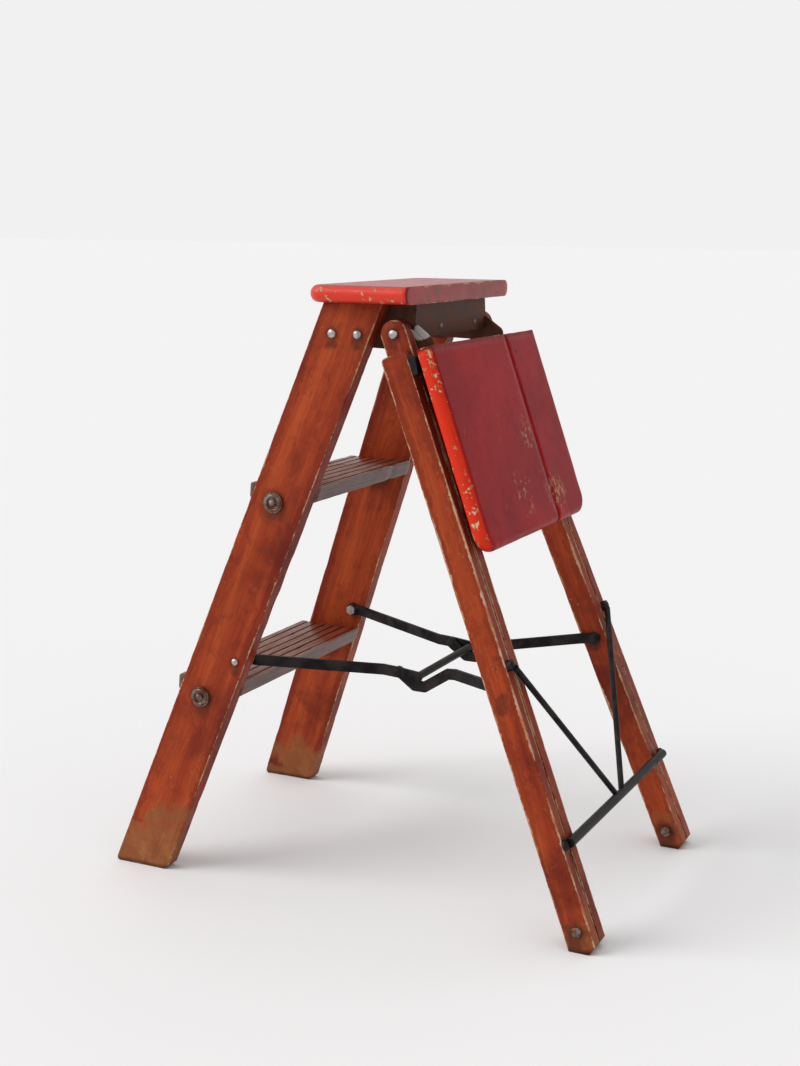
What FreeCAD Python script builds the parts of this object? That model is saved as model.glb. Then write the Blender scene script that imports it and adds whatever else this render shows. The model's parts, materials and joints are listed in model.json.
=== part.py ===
import FreeCAD, Part
import os
import re
import Sketcher
from FreeCAD import Placement, Rotation, Vector

# Folding wooden step stool with a flap that rises into a seat.
# Frame: +Z up, +Y towards the rear legs, +X to the right. The origin lies on the floor,
# in the middle of the footprint. Millimetres.

SIZES = {
    "seat_height": 610.0, "board_thick": 17.0,
    "seat_half": 124.9, "seat_rear": 50.8, "seat_depth": 110.0, "seat_corner": 16.0, "bullnose": 8.2,
    "stile_foot_half": 165.7, "stile_head_half": 101.9, "stile_thick": 17.0, "stile_depth": 64.2,
    "stile_foot_front": -267.4, "stile_head_front": -50.4,
    "tread_thick": 16.5, "lower_tread_top": 204.3, "upper_tread_top": 409.7,
    "tread_housing": 4.0, "tread_nosing": 13.5, "rod_set": 4.0,
    "groove_first": 9.0, "groove_pitch": 12.2, "groove_wide": 2.2, "groove_deep": 2.0, "groove_rear": 4.5,
    "tread_rod_radius": 3.0, "cap_radius": 10.5, "cap_thick": 1.6, "cap_ring_radius": 7.4,
    "cap_ring_wire": 1.7, "cap_dome_radius": 4.2,
    "leg_thick": 13.2, "leg_gap": 2.7, "leg_foot_half": 161.7, "leg_head_half": 121.4,
    "leg_foot_front": 241.8, "leg_head_front": 2.0, "leg_depth": 29.2,
    "outer_leg_drop": 47.0, "foot_chamfer": 9.0,
    "pivot_drop": 28.6, "pivot_radius": 3.5, "pin_clearance": 0.1, "side_clearance": 0.4,
    "bolt_radius": 2.5, "head_bolt_cap": 4.6, "pivot_cap": 4.8, "eye_cap": 3.7, "foot_cap": 5.4,
    "cap_share": 0.55,
    "washer_radius": 6.8, "nut_radius": 5.6, "nut_thick": 4.0,
    "hole_clearance": 0.15,
    "foot_bolt_height": 20.0, "foot_washer_radius": 8.5,
    "sheet_thick": 2.5, "ear_front": -50.2, "ear_drop": 42.5, "ear_lobe_y": 53.8, "ear_lobe_drop": 37.5,
    "ear_lobe_radius": 8.0, "ear_shoulder": 18.4, "plate_rear": 41.8, "plate_high": 33.0,
    "plate_screw_right": 27.0, "plate_screw_left": -57.0, "plate_screw_drop": 24.5,
    "rail_depth": 22.0, "rail_high": 29.0, "nut_room": 1.0,
    "head_bolt_front": -39.8, "head_bolt_rear": -11.7, "head_bolt_drop": 30.5,
    "screw_radius": 3.4, "screw_high": 1.6,
    "flap_half": 136.0, "flap_long": 202.0, "flap_gap": 0.6, "flap_seam": -48.0, "flap_swing": 70.6,
    "flap_corner": 20.0, "seam_gap": 0.4,
    "arm_inner": 90.4, "arm_thick": 2.2, "arm_hub": 11.0, "arm_flange": 24.0, "arm_reach": 46.0,
    "arm_set": 5.0, "arm_low_y": 63.8, "arm_low_drop": 27.0, "arm_tip": 6.0, "arm_screw_set": 14.4,
    "front_pivot_y": -132.2, "front_pivot_z": 228.0, "rear_pivot_z": 229.6,
    "strap_high": 11.0, "strap_thick": 3.0, "strap_stand": 1.6,
    "rivet_half": 67.3, "rivet_y": 17.4, "rivet_z": 219.0, "rivet_head": 4.6, "rivet_high": 2.2,
    "strap_rod_reach": 21.9, "strap_rod_drop": 1.2, "strap_rod_radius": 4.0, "saddle_y": 42.3,
    "saddle_clearance": 0.8,
    "crest_y": 71.8, "eye_flat": 13.0, "eye_radius": 7.0, "strap_bend": 16.0,
    "crossbar_z": 99.4, "crossbar_radius": 4.7, "bar_stand": 0.2,
    "tab_thick": 3.0, "tab_radius": 5.6, "tab_set": 3.0,
    "brace_top_z": 260.9, "brace_radius": 3.0, "brace_foot_x": 6.0,
}

# Layout values worked out from the sizes above.
LAYOUT = [
    ("seat_under", "seat_height - board_thick"),
    ("pivot_height", "seat_under - pivot_drop"),
    ("outer_leg_top", "seat_under - outer_leg_drop"),
    ("ear_bottom", "seat_under - ear_drop"),
    ("ear_lobe_z", "seat_under - ear_lobe_drop"),
    ("plate_bottom", "seat_under - plate_high"),
    ("plate_screw_z", "seat_under - plate_screw_drop"),
    ("head_bolt_z", "seat_under - head_bolt_drop"),
    ("arm_low_z", "seat_under - arm_low_drop"),
    ("stile_lean", "(stile_head_front - stile_foot_front) / seat_under"),
    ("stile_splay", "(stile_foot_half - stile_head_half) / seat_under"),
    ("leg_lean", "(leg_foot_front - leg_head_front) / seat_under"),
    ("leg_splay", "(leg_foot_half - leg_head_half) / seat_under"),
    ("leg_slant", "sqrt(1 + leg_lean ^ 2)"),
    ("pivot_y", "leg_foot_front - leg_lean * pivot_height + leg_depth / 2"),
    ("rear_pivot_y", "leg_foot_front - leg_lean * rear_pivot_z + leg_depth / 2"),
    ("foot_bolt_y", "leg_foot_front - leg_lean * foot_bolt_height + leg_depth / 2"),
    ("stile_inner_foot", "stile_foot_half - stile_thick"),
    ("stile_inner_head", "stile_head_half - stile_thick"),
    ("inner_leg_foot", "leg_foot_half - leg_thick - leg_gap"),
    ("inner_leg_head", "leg_head_half - leg_thick - leg_gap"),
    ("pivot_stile_inner", "stile_inner_foot - stile_splay * pivot_height"),
    ("pivot_leg_outer", "inner_leg_foot - leg_splay * pivot_height"),
    ("front_eye_face", "stile_inner_foot - stile_splay * front_pivot_z - strap_stand"),
    ("rear_eye_face", "inner_leg_foot - leg_thick - leg_splay * rear_pivot_z - strap_stand"),
    ("strap_fall", "(rivet_z - front_pivot_z) / (rivet_y - front_pivot_y)"),
    ("strap_rod_y", "rivet_y + strap_rod_reach"),
    ("strap_rod_z", "rivet_z + strap_fall * strap_rod_reach - strap_rod_drop"),
    ("saddle_z", "strap_rod_z - strap_rod_radius - saddle_clearance - strap_high / 2"),
    ("rear_rise", "(rear_pivot_z - rivet_z) / (rear_pivot_y - rivet_y)"),
    ("crest_z", "rivet_z + rear_rise * (crest_y - rivet_y)"),
    ("flap_front", "seat_rear + flap_gap"),
    ("swing_sin", "sin(flap_swing)"),
    ("swing_cos", "cos(flap_swing)"),
    ("brace_rise", "(brace_top_z - crossbar_z) * leg_slant"),
    ("brace_top_x", "leg_foot_half - leg_splay * brace_top_z - leg_thick / 2"),
    ("bar_middle", "crossbar_radius + bar_stand"),
    ("eye_bore_start", "rivet_half + 2 * strap_high"),
]
ANGLES = [
    ("leg_angle", "atan(leg_lean)"),
    ("brace_angle", "atan((brace_top_x - brace_foot_x) / brace_rise)"),
]

doc = FreeCAD.newDocument("FoldingStepStool")
sheet = doc.addObject("Spreadsheet::Sheet", "dim")
for row, (alias, value) in enumerate(SIZES.items(), 1):
    sheet.set("A%d" % row, alias)
    sheet.set("B%d" % row, str(value))
    sheet.setAlias("B%d" % row, alias)
doc.recompute()
TABLE = {alias: "dim." for alias in SIZES}


def formula(text):
    """Names the table of each size in a formula, as the document's expressions need it."""
    return re.sub(r"[a-z][a-z_0-9]*", lambda word: TABLE.get(word.group(), "") + word.group(), str(text))


layout = doc.addObject("App::VarSet", "layout")
for kind, entries in (("App::PropertyFloat", LAYOUT), ("App::PropertyAngle", ANGLES)):
    for name, text in entries:
        layout.addProperty(kind, name, "Layout")
        layout.setExpression(name, formula(text))
        TABLE[name] = "layout."
probe = doc.addObject("App::VarSet", "probe")
probe.addProperty("App::PropertyFloat", "number", "Probe")
doc.recompute()


def number(text):
    """The present value of a formula, used only as a sketch's first guess."""
    probe.setExpression("number", formula(text))
    probe.recompute()
    return float(probe.number)


def bind(item, **sizes):
    """Binds properties of an object to formulas."""
    for prop, text in sizes.items():
        item.setExpression(prop.replace("__", "."), formula(text))
    return item


def at(item, x, y, z):
    """Puts an object's origin at a point given by formulas."""
    return bind(item, Placement__Base__x=x, Placement__Base__y=y, Placement__Base__z=z)


def box(name, long, deep, high, x, y, z):
    """A block with its low corner at x, y, z."""
    return at(bind(doc.addObject("Part::Box", name), Length=long, Width=deep, Height=high), x, y, z)


def rod(name, radius, long, x, y, z):
    """A round bar along +X that starts at x, y, z."""
    item = bind(doc.addObject("Part::Cylinder", name), Radius=radius, Height=long)
    item.Placement = Placement(Vector(), Rotation(Vector(0, 1, 0), 90))
    return at(item, x, y, z)


def dome(name, radius, high, x, y, z, turn=90):
    """Half an ellipsoid on a flat base, its crown along +X, or along +Z with no turn."""
    item = bind(doc.addObject("Part::Ellipsoid", name), Radius1=high, Radius2=radius)
    item.Angle1 = 0
    item.Angle2 = 90
    item.Placement = Placement(Vector(), Rotation(Vector(0, 1, 0), turn))
    return at(item, x, y, z)


def nut(name, radius, thick, x, y, z):
    """A hexagon nut whose axis runs along +X from x, y, z."""
    item = bind(doc.addObject("Part::Prism", name), Circumradius=radius, Height=thick)
    item.Polygon = 6
    item.Placement = Placement(Vector(), Rotation(Vector(0, 1, 0), 90))
    return at(item, x, y, z)


def band(name, foot_low, foot_high, head_low, head_high):
    """The slab between two splayed planes, from the floor to the seat's underside."""
    item = doc.addObject("Part::Wedge", name)
    item.Placement = Placement(Vector(), Rotation(Vector(1, 0, 0), 90))
    bind(item, Xmin=foot_low, Xmax=foot_high, X2min=head_low, X2max=head_high)
    bind(item, Ymin="0", Ymax="seat_under")
    return bind(item, Zmin="-2 * seat_height", Zmax="2 * seat_height",
                Z2min="-2 * seat_height", Z2max="2 * seat_height")


def fuse(name, *parts):
    item = doc.addObject("Part::MultiFuse", name)
    item.Shapes = list(parts)
    return item


def common(name, first, second):
    item = doc.addObject("Part::Common", name)
    item.Base = first
    item.Tool = second
    return item


def cut(name, base, *tools):
    """Cuts the tools, fused if there are several, out of the base."""
    item = doc.addObject("Part::Cut", name)
    item.Base = base
    item.Tool = tools[0] if len(tools) == 1 else fuse(name + "_tools", *tools)
    return item


def mirrored(name, source):
    """The left-hand copy of a right-hand piece."""
    item = doc.addObject("Part::Mirroring", name)
    item.Source = source
    item.Normal = Vector(1, 0, 0)
    return item


def pair(name, source):
    """A right-hand piece and its mirror image in one node."""
    item = doc.addObject("Part::Compound", name)
    item.Links = [source, mirrored(name + "_left", source)]
    return item


# A side view lies in the YZ plane and a plan in the XY plane.
VIEWS = {"side": Rotation(Vector(1, 1, 1), 120), "plan": Rotation()}


def outline(name, view, corners, closed=True):
    """Lines through corners given by formulas, each corner held by its two distances."""
    sketch = doc.addObject("Sketcher::SketchObject", name)
    sketch.Placement = Placement(Vector(), VIEWS[view])
    points = [Vector(number(across), number(up), 0) for across, up in corners]
    count = len(points)
    for index in range(count if closed else count - 1):
        sketch.addGeometry(Part.LineSegment(points[index], points[(index + 1) % count]))
    for index, (across, up) in enumerate(corners):
        line, end = (index, 1) if index < count - 1 or closed else (index - 1, 2)
        if closed or 0 < index < count - 1:
            sketch.addConstraint(Sketcher.Constraint("Coincident", (index - 1) % count, 2, index, 1))
        for kind, text, value in (("DistanceX", across, points[index].x), ("DistanceY", up, points[index].y)):
            held = sketch.addConstraint(Sketcher.Constraint(kind, -1, 1, line, end, value))
            sketch.setExpression("Constraints[%d]" % held, formula(text))
    return sketch


def thick(name, sketch, view, low, high):
    """Extrudes an outline across its view, from one formula to another."""
    item = doc.addObject("Part::Extrusion", name)
    item.Base = sketch
    item.DirMode = "Custom"
    item.Dir = Vector(1, 0, 0) if view == "side" else Vector(0, 0, 1)
    item.Solid = True
    return bind(item, LengthFwd=high, LengthRev="-(%s)" % low)


def strap_form(name, view, path, half, low, high):
    """A strip of even width along an open path, with rounded ends, made thick."""
    strip = doc.addObject("Part::Offset2D", name + "_strip")
    strip.Source = outline(name + "_path", view, path, closed=False)
    strip.Mode = "Pipe"
    strip.Join = "Arc"
    strip.Fill = True
    bind(strip, Value=half)
    return thick(name, strip, view, low, high)


def hang(item):
    """Turns a piece built in the raised seat about the top pivot, to where the flap hangs."""
    item.Placement = Placement(Vector(), Rotation(Vector(1, 0, 0), -SIZES["flap_swing"]))
    bind(item, Placement__Rotation__Angle="-flap_swing")
    return at(item, "0", "pivot_y - swing_cos * pivot_y - swing_sin * pivot_height",
              "pivot_height + swing_sin * pivot_y - swing_cos * pivot_height")


def on_rear_edge(item, z):
    """Lays a piece built flat against the rear edges of the legs, at height z."""
    item.Placement = Placement(Vector(), Rotation(Vector(1, 0, 0), 22))
    bind(item, Placement__Rotation__Angle="leg_angle")
    return at(item, "0", "leg_foot_front - leg_lean * (%s) + leg_depth" % z, z)


def board(name, half, front, deep, corner, corners_front):
    """A board on the seat's level, with round edges all round but one, as a body of features."""
    body = doc.addObject("PartDesign::Body", name)
    plane = [item for item in body.Origin.OriginFeatures if item.Role == "XY_Plane"][0]
    sketch = body.newObject("Sketcher::SketchObject", name + "_plan")
    sketch.AttachmentSupport = [(plane, "")]
    sketch.MapMode = "FlatFace"
    values = {"left": "-(%s)" % half, "right": half, "front": front, "rear": "%s + %s" % (front, deep)}
    places = [("left", "front"), ("right", "front"), ("right", "rear"), ("left", "rear")]
    points = [Vector(number(values[across]), number(values[along]), 0) for across, along in places]
    for index in range(4):
        sketch.addGeometry(Part.LineSegment(points[index], points[(index + 1) % 4]))
    for index, place in enumerate(places):
        sketch.addConstraint(Sketcher.Constraint("Coincident", (index - 1) % 4, 2, index, 1))
        for kind, side, value in (("DistanceX", place[0], points[index].x),
                                  ("DistanceY", place[1], points[index].y)):
            held = sketch.addConstraint(Sketcher.Constraint(kind, -1, 1, index, 1, value))
            sketch.setExpression("Constraints[%d]" % held, formula(values[side]))
    pad = body.newObject("PartDesign::Pad", name + "_pad")
    pad.Profile = sketch
    bind(pad, Length="board_thick")
    at(body, "0", "0", "seat_under")
    doc.recompute()
    square_y = number(values["rear" if corners_front else "front"])
    upright = [index for index, edge in enumerate(pad.Shape.Edges, 1)
               if abs(edge.tangentAt(edge.FirstParameter).z) > 0.99
               and abs(edge.CenterOfMass.y - square_y) > 1]
    rounded = body.newObject("PartDesign::Fillet", name + "_corners")
    rounded.Base = (pad, ["Edge%d" % index for index in upright])
    bind(rounded, Radius=corner)
    doc.recompute()
    rim = [index for index, edge in enumerate(rounded.Shape.Edges, 1)
           if abs(edge.tangentAt(edge.FirstParameter).z) < 0.01
           and abs(edge.CenterOfMass.y - square_y) > 1]
    nose = body.newObject("PartDesign::Fillet", name + "_nose")
    nose.Base = (rounded, ["Edge%d" % index for index in rim])
    bind(nose, Radius="bullnose")
    doc.recompute()
    return body


def stile_face(z):
    return "stile_foot_half - stile_splay * (%s)" % z


def stile_front(z):
    return "stile_foot_front + stile_lean * (%s)" % z


def leg_centre(z):
    return "leg_foot_front - leg_lean * (%s) + leg_depth / 2" % z


nodes = {}

# Bands: the slabs in which the splayed pieces lie
stile_band = band("stile_band", "stile_inner_foot", "stile_foot_half", "stile_inner_head", "stile_head_half")
tread_band = band("tread_band", "-(stile_inner_foot + tread_housing)", "stile_inner_foot + tread_housing",
                  "-(stile_inner_head + tread_housing)", "stile_inner_head + tread_housing")
ear_band = band("ear_band", "stile_inner_foot - sheet_thick", "stile_inner_foot",
                "stile_inner_head - sheet_thick", "stile_inner_head")
rail_band = band("rail_band", "-(stile_inner_foot - sheet_thick)", "stile_inner_foot - sheet_thick",
                 "-(stile_inner_head - sheet_thick)", "stile_inner_head - sheet_thick")
outer_band = band("outer_band", "leg_foot_half - leg_thick", "leg_foot_half",
                  "leg_head_half - leg_thick", "leg_head_half")
inner_band = band("inner_band", "inner_leg_foot - leg_thick", "inner_leg_foot",
                  "inner_leg_head - leg_thick", "inner_leg_head")


# Treads: grooved boards let into the stiles
def tread(name, top):
    under = "(%s - tread_thick)" % top
    nose = "%s - tread_nosing" % stile_front(top)
    side = outline(name + "_side", "side", [
        (nose, top), (nose, under),
        ("%s + stile_depth" % stile_front(under), under), ("%s + stile_depth" % stile_front(top), top)])
    stock = common(name + "_stock", thick(name + "_solid", side, "side", "-stile_foot_half", "stile_foot_half"),
                   tread_band)
    cuts = []
    starts = ["%s + groove_first + %d * groove_pitch" % (nose, index) for index in range(5)]
    starts.append("%s + stile_depth - groove_rear - groove_wide" % stile_front(top))
    for index, start in enumerate(starts):
        cuts.append(box("%s_groove_%d" % (name, index), "2 * stile_foot_half", "groove_wide", "groove_deep + 1",
                        "-stile_foot_half", start, "%s - groove_deep" % top))
    cuts.append(rod(name + "_rod_seat", "tread_rod_radius + hole_clearance", "2 * stile_foot_half",
                    "-stile_foot_half", "%s + stile_depth / 2 - rod_set" % stile_front(under), under))
    return cut(name, stock, *cuts)


nodes["tread_lower"] = tread("tread_lower", "lower_tread_top")
nodes["tread_upper"] = tread("tread_upper", "upper_tread_top")


def rod_place(top):
    """Where the tie rod under a tread runs."""
    under = "(%s - tread_thick)" % top
    return "%s + stile_depth / 2 - rod_set" % stile_front(under), under


# Stiles: the two sloping sides of the ladder
stile_side = outline("stile_side", "side", [
    ("stile_foot_front", "0"), ("stile_foot_front + stile_depth", "0"),
    ("stile_head_front + stile_depth", "seat_under"), ("stile_head_front", "seat_under")])
stile_solid = common("stile_solid", thick("stile_board", stile_side, "side", "0", "stile_foot_half"), stile_band)
bores = []
for name, (y, z) in (("low", rod_place("lower_tread_top")), ("high", rod_place("upper_tread_top"))):
    bores.append(rod("stile_bore_" + name, "tread_rod_radius + hole_clearance", "stile_foot_half", "0", y, z))
for name, y, z in (("front", "head_bolt_front", "head_bolt_z"), ("rear", "head_bolt_rear", "head_bolt_z"),
                   ("eye", "front_pivot_y", "front_pivot_z")):
    bores.append(rod("stile_bore_" + name, "bolt_radius + hole_clearance", "stile_foot_half", "0", y, z))
nodes["stile_right"] = cut("stile_right", stile_solid, nodes["tread_lower"], nodes["tread_upper"], *bores)
nodes["stile_left"] = mirrored("stile_left", nodes["stile_right"])


# Tie rods under the treads, with a cup and a domed nut at each end
def tie_rod(name, top):
    y, z = rod_place(top)
    face = stile_face(z)
    nodes[name] = rod(name, "tread_rod_radius", "2 * (%s)" % face, "-(%s)" % face, y, z)
    lift = "%s + stile_splay * cap_radius" % face
    disc = rod(name + "_disc", "cap_radius", "cap_thick", lift, y, z)
    ring = bind(doc.addObject("Part::Torus", name + "_ring"), Radius1="cap_ring_radius", Radius2="cap_ring_wire")
    ring.Placement = Placement(Vector(), Rotation(Vector(0, 1, 0), 90))
    at(ring, "%s + cap_thick" % lift, y, z)
    crown = dome(name + "_crown", "cap_dome_radius", "cap_dome_radius", "%s + cap_thick" % lift, y, z)
    return fuse(name + "_cup", disc, ring, crown)


cups = fuse("cups", tie_rod("tie_rod_lower", "lower_tread_top"), tie_rod("tie_rod_upper", "upper_tread_top"))
nodes["tie_rod_cups"] = pair("tie_rod_cups", cups)

# Top board
nodes["top_board"] = board("top_board", "seat_half", "seat_rear - seat_depth", "seat_depth", "seat_corner", True)

# Head bracket: two ears inside the stiles, a plate across them and the rail behind it
ear_side = outline("ear_side", "side", [
    ("ear_front", "seat_under"), ("ear_front", "ear_bottom"), ("ear_lobe_y", "ear_lobe_z - ear_lobe_radius"),
    ("ear_lobe_y + ear_lobe_radius * sqrt(0.5)", "ear_lobe_z + ear_lobe_radius * sqrt(0.5)"),
    ("plate_rear", "ear_lobe_z + ear_shoulder"), ("plate_rear", "seat_under")])
ear_lobe = rod("ear_lobe", "ear_lobe_radius", "stile_foot_half", "0", "ear_lobe_y", "ear_lobe_z")
ear_form = fuse("ear_form", thick("ear_sheet", ear_side, "side", "0", "stile_foot_half"), ear_lobe)
ear_bores = [rod("ear_bore_" + name, "%s + hole_clearance" % radius, "stile_foot_half", "0", y, z)
             for name, radius, y, z in (("front", "bolt_radius", "head_bolt_front", "head_bolt_z"),
                                        ("rear", "bolt_radius", "head_bolt_rear", "head_bolt_z"),
                                        ("pivot", "pivot_radius", "pivot_y", "pivot_height"))]
nodes["bracket_ear_right"] = cut("bracket_ear_right", common("ear_blank", ear_form, ear_band), *ear_bores)
nodes["bracket_ear_left"] = mirrored("bracket_ear_left", nodes["bracket_ear_right"])

plate_stock = box("plate_stock", "2 * stile_foot_half", "sheet_thick", "seat_under - plate_bottom",
                  "-stile_foot_half", "plate_rear - sheet_thick", "plate_bottom")
rail_stock = box("rail_stock", "2 * stile_foot_half", "rail_depth", "rail_high",
                 "-stile_foot_half", "plate_rear - sheet_thick - rail_depth", "seat_under - rail_high")
nodes["bracket_plate"] = common("bracket_plate", plate_stock, rail_band)
nut_room = rod("nut_room", "nut_radius + nut_room", "stile_foot_half",
               "pivot_stile_inner - sheet_thick - 2 * nut_thick", "pivot_y", "pivot_height")
nodes["head_rail"] = cut("head_rail", common("rail_blank", rail_stock, rail_band),
                         pair("nut_rooms", nut_room))


def screw_head(name, x, y, z):
    """A low round head whose crown looks along +Y."""
    item = bind(doc.addObject("Part::Ellipsoid", name), Radius1="screw_high", Radius2="screw_radius")
    item.Angle1 = 0
    item.Angle2 = 90
    item.Placement = Placement(Vector(), Rotation(Vector(1, 0, 0), -90))
    return at(item, x, y, z)


nodes["bracket_screws"] = fuse("bracket_screws",
                               screw_head("plate_screw_a", "plate_screw_right", "plate_rear", "plate_screw_z"),
                               screw_head("plate_screw_b", "plate_screw_left", "plate_rear", "plate_screw_z"))


def bolt(name, radius, cap, inner, outer, y, z, slope):
    """A bolt along X: a shank, a domed head outside and a nut inside, clear of splayed faces."""
    head = dome(name + "_head", cap, "cap_share * %s" % cap, "%s + %s * %s" % (outer, slope, cap), y, z)
    low = "%s - %s * nut_radius - nut_thick" % (inner, slope)
    shank = rod(name + "_shank", radius, "(%s) - (%s) + %s * %s" % (outer, low, slope, cap), low, y, z)
    return fuse(name, head, shank, nut(name + "_nut", "nut_radius", "nut_thick", low, y, z))


head_inner = "stile_inner_foot - stile_splay * head_bolt_z - sheet_thick"
head_bolts = [bolt("head_bolt_" + name, "bolt_radius", "head_bolt_cap", head_inner, stile_face("head_bolt_z"), y,
                   "head_bolt_z", "stile_splay") for name, y in (("a", "head_bolt_front"), ("b", "head_bolt_rear"))]
nodes["head_bolts"] = pair("head_bolts", fuse("head_bolt_set", *head_bolts))

eye_bolt = bolt("eye_bolt", "bolt_radius", "eye_cap", "front_eye_face - strap_thick - side_clearance",
                stile_face("front_pivot_z"), "front_pivot_y", "front_pivot_z", "stile_splay")
nodes["spreader_eye_bolts"] = pair("spreader_eye_bolts", eye_bolt)

pivot_bolt = bolt("pivot_bolt", "pivot_radius", "pivot_cap", "pivot_stile_inner - sheet_thick",
                  "pivot_leg_outer + side_clearance", "pivot_y", "pivot_height", "stile_splay")
pivot_washer = cut("pivot_washer", rod("pivot_disc", "washer_radius",
                                       "arm_inner - pivot_stile_inner - stile_splay * washer_radius - side_clearance",
                                       "pivot_stile_inner + stile_splay * washer_radius", "pivot_y", "pivot_height"),
                   rod("pivot_disc_bore", "pivot_radius", "stile_foot_half", "0", "pivot_y", "pivot_height"))
nodes["top_pivot_bolts"] = pair("top_pivot_bolts", fuse("pivot_set", pivot_bolt, pivot_washer))


# Rear legs: a long inner strip up to the pivot and a shorter outer strip on each side
def leg_side(name, top):
    reach = "(leg_depth / 2 / leg_slant ^ 2)"
    rear = "leg_foot_front + leg_depth"
    return outline(name, "side", [
        ("leg_foot_front", "0"), ("%s - foot_chamfer" % rear, "0"),
        ("%s - leg_lean * foot_chamfer" % rear, "foot_chamfer"),
        ("%s + %s" % (leg_centre(top), reach), "%s + leg_lean * %s" % (top, reach)),
        ("%s - %s" % (leg_centre(top), reach), "%s - leg_lean * %s" % (top, reach))])


foot_bore = rod("foot_bore", "bolt_radius + hole_clearance", "leg_foot_half", "0", "foot_bolt_y",
                "foot_bolt_height")
outer_stock = thick("outer_stock", leg_side("outer_leg_side", "outer_leg_top"), "side", "0", "leg_foot_half")
nodes["outer_leg_right"] = cut("outer_leg_right", common("outer_blank", outer_stock, outer_band), foot_bore)
nodes["outer_leg_left"] = mirrored("outer_leg_left", nodes["outer_leg_right"])

inner_stock = thick("inner_stock", leg_side("inner_leg_side", "pivot_height"), "side", "0", "leg_foot_half")
inner_head = rod("inner_head", "leg_depth / 2 / leg_slant", "leg_foot_half", "0", "pivot_y", "pivot_height")
inner_blank = common("inner_blank", fuse("inner_form", inner_stock, inner_head), inner_band)
pivot_bore = rod("pivot_bore", "pivot_radius + pin_clearance", "leg_foot_half", "0", "pivot_y", "pivot_height")
rear_eye_bore = rod("rear_eye_bore", "bolt_radius + hole_clearance", "leg_foot_half", "0", "rear_pivot_y",
                    "rear_pivot_z")
nodes["inner_leg_right"] = cut("inner_leg_right", inner_blank, foot_bore, pivot_bore, rear_eye_bore)
nodes["inner_leg_left"] = mirrored("inner_leg_left", nodes["inner_leg_right"])

foot_face = "leg_foot_half - leg_splay * foot_bolt_height"
foot_inner = "inner_leg_foot - leg_thick - leg_splay * foot_bolt_height"
foot_bolt = bolt("foot_bolt", "bolt_radius", "foot_cap", foot_inner, foot_face, "foot_bolt_y", "foot_bolt_height",
                 "leg_splay")
nodes["foot_bolts"] = pair("foot_bolts", foot_bolt)
foot_ring = rod("foot_ring", "foot_washer_radius", "leg_gap - 2 * leg_splay * foot_washer_radius",
                "inner_leg_foot - leg_splay * (foot_bolt_height - foot_washer_radius)", "foot_bolt_y",
                "foot_bolt_height")
nodes["foot_spacers"] = pair("foot_spacers", cut("foot_spacer", foot_ring, foot_bore))

eye_end = "inner_leg_foot - leg_splay * (rear_pivot_z + bolt_radius)"
eye_head_face = "rear_eye_face - strap_thick - side_clearance"
rear_eye_shank = rod("rear_eye_shank", "bolt_radius", "(%s) - (%s)" % (eye_end, eye_head_face), eye_head_face,
                     "rear_pivot_y", "rear_pivot_z")
rear_eye_head = dome("rear_eye_head", "rivet_head", "screw_high", eye_head_face, "rear_pivot_y", "rear_pivot_z",
                     turn=-90)
nodes["leg_eye_rivets"] = pair("leg_eye_rivets", fuse("leg_eye_rivet", rear_eye_shank, rear_eye_head))

def tab(name, thick_by, x, z):
    """A round flattened end that lies on a rear edge."""
    item = bind(doc.addObject("Part::Cylinder", name), Radius="tab_radius", Height=thick_by)
    item.Placement = Placement(Vector(), Rotation(Vector(1, 0, 0), -90))
    return at(item, x, "0", z)


# Cross bar and the two rods that brace it, all against the rear edges of the legs
tab_middle = "leg_foot_half - leg_splay * crossbar_z - leg_thick / 2"
bar_half = "(%s + tab_set - screw_radius - hole_clearance)" % tab_middle
bar_tube = rod("bar_tube", "crossbar_radius", "2 * %s" % bar_half, "-%s" % bar_half, "bar_middle", "0")
bar_tabs = [tab("bar_tab_" + name, "tab_thick", x, "0")
            for name, x in (("a", "%s + tab_set" % tab_middle), ("b", "-(%s + tab_set)" % tab_middle))]
nodes["leg_crossbar"] = on_rear_edge(fuse("leg_crossbar", bar_tube, *bar_tabs), "crossbar_z")


nodes["crossbar_screws"] = on_rear_edge(
    fuse("crossbar_screws", screw_head("bar_screw_a", "%s + tab_set" % tab_middle, "tab_thick", "0"),
         screw_head("bar_screw_b", "-(%s + tab_set)" % tab_middle, "tab_thick", "0")), "crossbar_z")

# The brace rod is laid out in the plane of the rear edges, up from the cross bar.
brace_bar = bind(doc.addObject("Part::Cylinder", "brace_bar"), Radius="brace_radius",
                 Height="sqrt((brace_top_x - brace_foot_x) ^ 2 + brace_rise ^ 2) - screw_radius"
                        " - hole_clearance")
brace_bar.Placement = Placement(Vector(), Rotation(Vector(0, 1, 0), 37))
bind(brace_bar, Placement__Rotation__Angle="brace_angle")
at(brace_bar, "brace_foot_x", "bar_middle", "0")
brace_tab = tab("brace_tab", "bar_middle", "brace_top_x", "brace_rise")
crossbar_room = rod("crossbar_room", "crossbar_radius", "2 * leg_foot_half", "-leg_foot_half",
                    "bar_middle", "0")
brace_form = cut("brace_form", fuse("brace_raw", brace_bar, brace_tab), crossbar_room)
nodes["brace_rod_right"] = on_rear_edge(brace_form, "crossbar_z")
nodes["brace_rod_left"] = mirrored("brace_rod_left", nodes["brace_rod_right"])
nodes["brace_screws"] = on_rear_edge(
    fuse("brace_screws", screw_head("brace_screw_a", "brace_top_x", "bar_middle", "brace_rise"),
         screw_head("brace_screw_b", "-brace_top_x", "bar_middle", "brace_rise")), "crossbar_z")

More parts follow.
